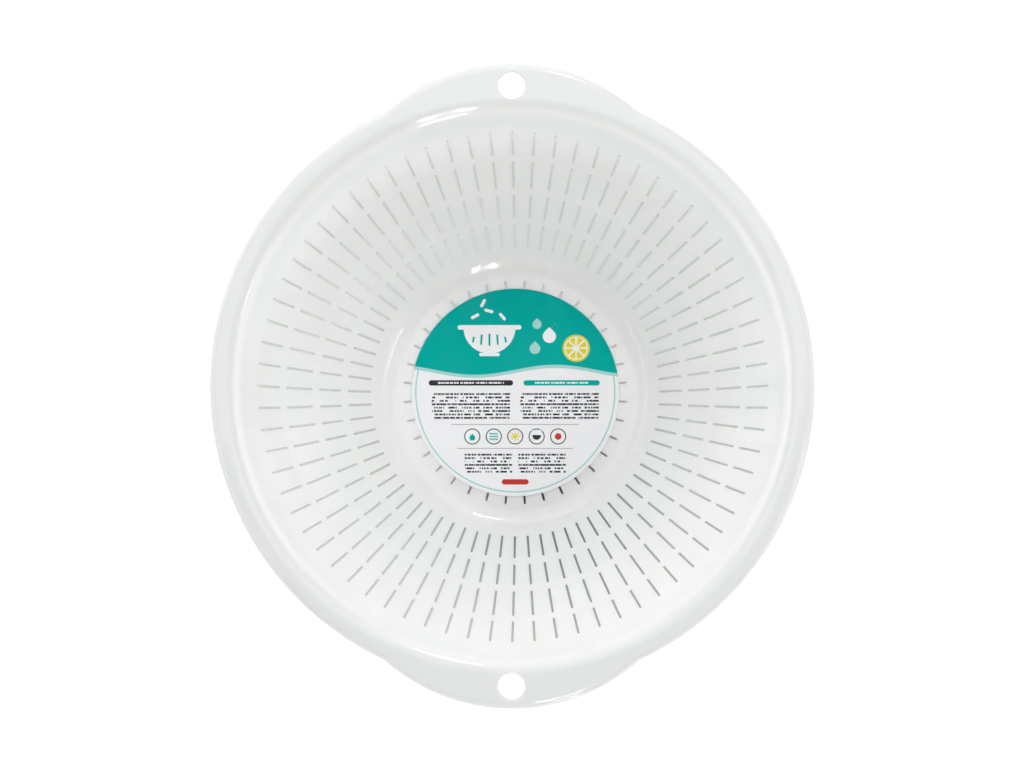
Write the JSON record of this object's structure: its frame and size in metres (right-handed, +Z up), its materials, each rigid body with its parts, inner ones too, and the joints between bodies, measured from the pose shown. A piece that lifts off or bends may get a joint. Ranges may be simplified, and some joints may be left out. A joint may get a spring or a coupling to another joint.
{
  "type": "strainer bowl",
  "caption": "Round plastic kitchen strainer bowl with radial slots in its wall and floor, a turned-down rim with ears to hang it by, a foot ring and a round paper label inside.",
  "frame": {"origin": "on the bowl's axis, at the height of the surface that the foot ring stands on", "axes": "+Z up out of the bowl's mouth, +Y towards one ear and -Y towards the other, +X across the rim between the ears"},
  "size_m": [0.268, 0.2858, 0.105],
  "materials": {
    "white_polypropylene": "white injection-moulded polypropylene with a soft, slightly waxy gloss",
    "printed_paper": "coated paper printed in teal, white and grey"
  },
  "bodies": {
    "root": {"strainer_bowl": "white_polypropylene", "paper_label": "printed_paper"}
  },
  "joints": []
}
